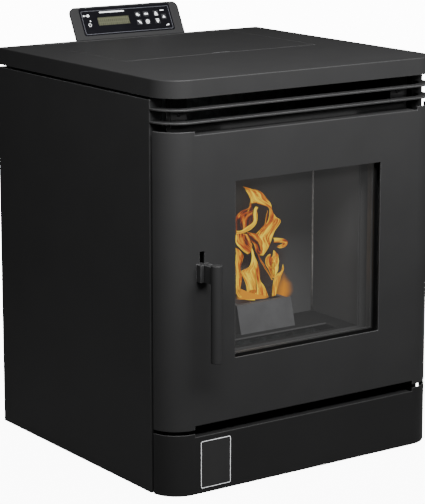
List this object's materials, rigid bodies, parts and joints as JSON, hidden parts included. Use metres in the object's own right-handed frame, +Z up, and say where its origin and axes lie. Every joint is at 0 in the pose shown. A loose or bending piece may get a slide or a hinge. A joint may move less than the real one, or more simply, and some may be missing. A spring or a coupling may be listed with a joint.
{
  "type": "pellet stove",
  "caption": "Free-standing pellet stove: black sheet-steel cabinet, glazed fire door with rod handle, louvred hot-air outlet, hopper lid and tilted control panel.",
  "frame": {"origin": "on the floor, under the middle of the cabinet", "axes": "the fire door faces -Y, +Z is up, +X is the right-hand side seen from the front"},
  "size_m": [0.6, 0.675, 0.7947],
  "materials": {
    "black_powder_coat": "satin black heat-resistant powder coat",
    "galvanised_steel": "bright galvanised sheet",
    "black_heat_paint": "matte black stove paint",
    "grey_cast_iron": "bare grey casting, sooted",
    "stainless_steel": "heat-resistant stainless steel, dull",
    "cast_aluminium": "as-cast aluminium",
    "ceramic_glass": "clear heat-proof ceramic glass",
    "fibre_rope": "grey braided glass-fibre rope",
    "grey_plastic": "fine-grained dark grey plastic",
    "gloss_black_plastic": "gloss black plastic",
    "display_green": "olive liquid-crystal window",
    "black_key": "smooth black key caps",
    "black_rubber": "black rubber",
    "zinc_steel": "zinc-plated steel",
    "silicone": "dark silicone strip",
    "black_plastic": "matte black plastic"
  },
  "bodies": {
    "cabinet": {"base_tray": "galvanised_steel", "levelling_feet": "black_rubber", "left_side_panel": "black_powder_coat", "right_side_panel": "black_powder_coat", "rear_panel": "black_powder_coat", "front_frame": "black_powder_coat", "top_plate": "black_powder_coat", "plinth_panel": "black_powder_coat", "badge_plate": "black_powder_coat", "louvre_slats": "black_powder_coat", "louvre_brackets": "black_powder_coat", "panel_screws": "zinc_steel", "firebox_shell": "black_heat_paint", "firebox_liners": "grey_cast_iron", "baffle_plate": "grey_cast_iron", "burner_housing": "grey_cast_iron", "burner_front_plate": "stainless_steel", "burn_pot": "stainless_steel", "igniter": "stainless_steel", "smoke_duct": "galvanised_steel", "exhaust_fan_housing": "cast_aluminium", "exhaust_fan_motor": "zinc_steel", "flue_spigot": "black_heat_paint", "air_intake_pipe": "galvanised_steel", "hopper_bin": "galvanised_steel", "hopper_seal": "silicone", "auger_tube": "zinc_steel", "auger_gear_motor": "zinc_steel", "pellet_chute": "zinc_steel", "room_fan_housing": "galvanised_steel", "room_fan_motor": "zinc_steel", "power_inlet": "black_plastic", "display_housing": "grey_plastic", "display_fascia": "gloss_black_plastic", "lcd_module": "display_green", "lid_hinge_leaf": "black_powder_coat", "lid_hinge_pin": "zinc_steel", "door_hinge_brackets": "black_heat_paint", "latch_keeper": "zinc_steel"},
    "door": {"door_skin": "black_powder_coat", "door_inner_frame": "black_heat_paint", "door_glass": "ceramic_glass", "door_rope_seal": "fibre_rope", "door_hinge_eyes": "black_heat_paint", "handle_bracket": "black_powder_coat"},
    "handle": {"handle_lever": "black_powder_coat", "handle_rod": "black_powder_coat"},
    "lid": {"hopper_lid": "black_powder_coat"},
    "ash_drawer": {"ash_pan": "galvanised_steel"},
    "auger": {"auger_screw": "stainless_steel"},
    "exhaust_rotor": {"exhaust_fan_impeller": "stainless_steel"},
    "room_air_rotor": {"room_fan_drum": "cast_aluminium"},
    "rocker": {"mains_rocker": "black_plastic"},
    "key_menu_cap": {"key_menu": "black_key"},
    "key_timer_cap": {"key_timer": "black_key"},
    "key_fan_cap": {"key_fan": "black_key"},
    "key_fuel_cap": {"key_fuel": "black_key"},
    "key_up_cap": {"key_up": "black_key"},
    "key_down_cap": {"key_down": "black_key"},
    "key_enter_cap": {"key_enter": "black_key"}
  },
  "joints": [
    {"name": "door_hinge", "type": "hinge", "parent": "cabinet", "child": "door", "pos_m": [0.2875, -0.252, 0.39], "axis": [0, 0, 1], "range_deg": [0, 95]},
    {"name": "handle_lift", "type": "hinge", "parent": "door", "child": "handle", "pos_m": [-0.229, -0.245, 0.404], "axis": [-1, 0, 0], "range_deg": [0, 25]},
    {"name": "lid_hinge", "type": "hinge", "parent": "cabinet", "child": "lid", "pos_m": [0, 0.2655, 0.732], "axis": [-1, 0, 0], "range_deg": [0, 75]},
    {"name": "ash_pan_slide", "type": "slide", "parent": "cabinet", "child": "ash_drawer", "axis": [0, -1, 0], "range_m": [0, 0.025]},
    {"name": "auger_spin", "type": "hinge", "parent": "cabinet", "child": "auger", "pos_m": [0, -0.03, 0.512], "axis": [0, 0.8192, -0.5736], "continuous": true},
    {"name": "exhaust_fan_spin", "type": "hinge", "parent": "cabinet", "child": "exhaust_rotor", "pos_m": [0.121, 0.12, 0.115], "axis": [1, 0, 0], "continuous": true},
    {"name": "room_fan_spin", "type": "hinge", "parent": "cabinet", "child": "room_air_rotor", "pos_m": [-0.13, 0.215, 0.067], "axis": [1, 0, 0], "continuous": true},
    {"name": "mains_rocker_tilt", "type": "hinge", "parent": "cabinet", "child": "rocker", "pos_m": [-0.235, 0.281, 0.214], "axis": [1, 0, 0], "range_deg": [0, 16]},
    {"name": "key_menu_press", "type": "slide", "parent": "cabinet", "child": "key_menu_cap", "axis": [0, 0.891, -0.454], "range_m": [0, 0.0005], "stiffness_N_per_m": 200},
    {"name": "key_timer_press", "type": "slide", "parent": "cabinet", "child": "key_timer_cap", "axis": [0, 0.891, -0.454], "range_m": [0, 0.0005], "stiffness_N_per_m": 200},
    {"name": "key_fan_press", "type": "slide", "parent": "cabinet", "child": "key_fan_cap", "axis": [0, 0.891, -0.454], "range_m": [0, 0.0005], "stiffness_N_per_m": 200},
    {"name": "key_fuel_press", "type": "slide", "parent": "cabinet", "child": "key_fuel_cap", "axis": [0, 0.891, -0.454], "range_m": [0, 0.0005], "stiffness_N_per_m": 200},
    {"name": "key_up_press", "type": "slide", "parent": "cabinet", "child": "key_up_cap", "axis": [0, 0.891, -0.454], "range_m": [0, 0.0005], "stiffness_N_per_m": 200},
    {"name": "key_down_press", "type": "slide", "parent": "cabinet", "child": "key_down_cap", "axis": [0, 0.891, -0.454], "range_m": [0, 0.0005], "stiffness_N_per_m": 200},
    {"name": "key_enter_press", "type": "slide", "parent": "cabinet", "child": "key_enter_cap", "axis": [0, 0.891, -0.454], "range_m": [0, 0.0005], "stiffness_N_per_m": 200}
  ]
}
